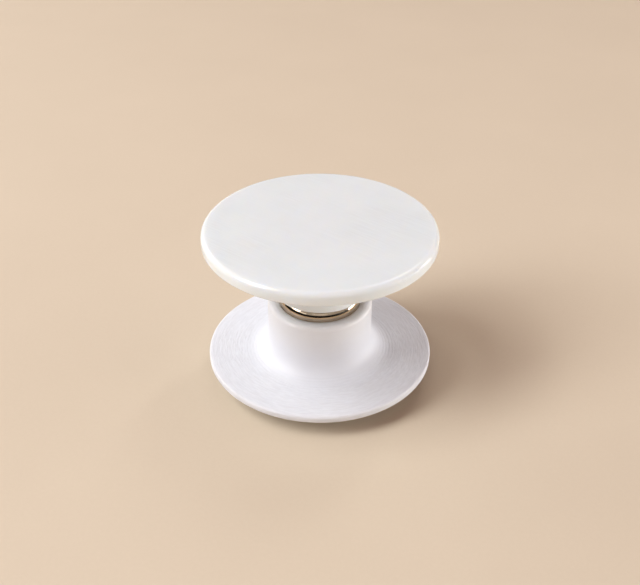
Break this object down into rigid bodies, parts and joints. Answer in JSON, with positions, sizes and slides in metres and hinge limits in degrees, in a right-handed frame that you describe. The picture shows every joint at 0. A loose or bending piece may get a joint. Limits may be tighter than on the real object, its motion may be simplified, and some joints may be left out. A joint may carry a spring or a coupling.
{
  "type": "magnetic door catch",
  "caption": "Spool-shaped magnetic door catch: a white flanged base on a foam pad holds a metal-capped magnet in its neck, and a white disc-faced keeper lifts off it.",
  "frame": {"origin": "centre of the mounting pad's flat underside", "axes": "+Z along the common axis, from the base to the keeper, which is the way the keeper pulls off"},
  "size_m": [0.04, 0.04, 0.029],
  "materials": {
    "pad_foam": "dark grey adhesive foam, die cut",
    "white_plastic": "satin white acetal-like plastic, lathe turned",
    "nickel_cap": "polished nickel plate",
    "magnet_body": "plain plated magnet",
    "strike_steel": "nickel-plated steel, faced",
    "screw_steel": "bright zinc-plated steel"
  },
  "bodies": {
    "base_half": {"mounting_pad": "pad_foam", "base": "white_plastic", "magnet_cap": "nickel_cap", "magnet": "magnet_body"},
    "keeper_half": {"keeper": "white_plastic", "strike_plate": "strike_steel", "strike_screw": "screw_steel"}
  },
  "joints": [
    {"name": "keeper_pull", "type": "slide", "parent": "base_half", "child": "keeper_half", "axis": [0, 0, 1], "range_m": [0, 0.03]}
  ]
}
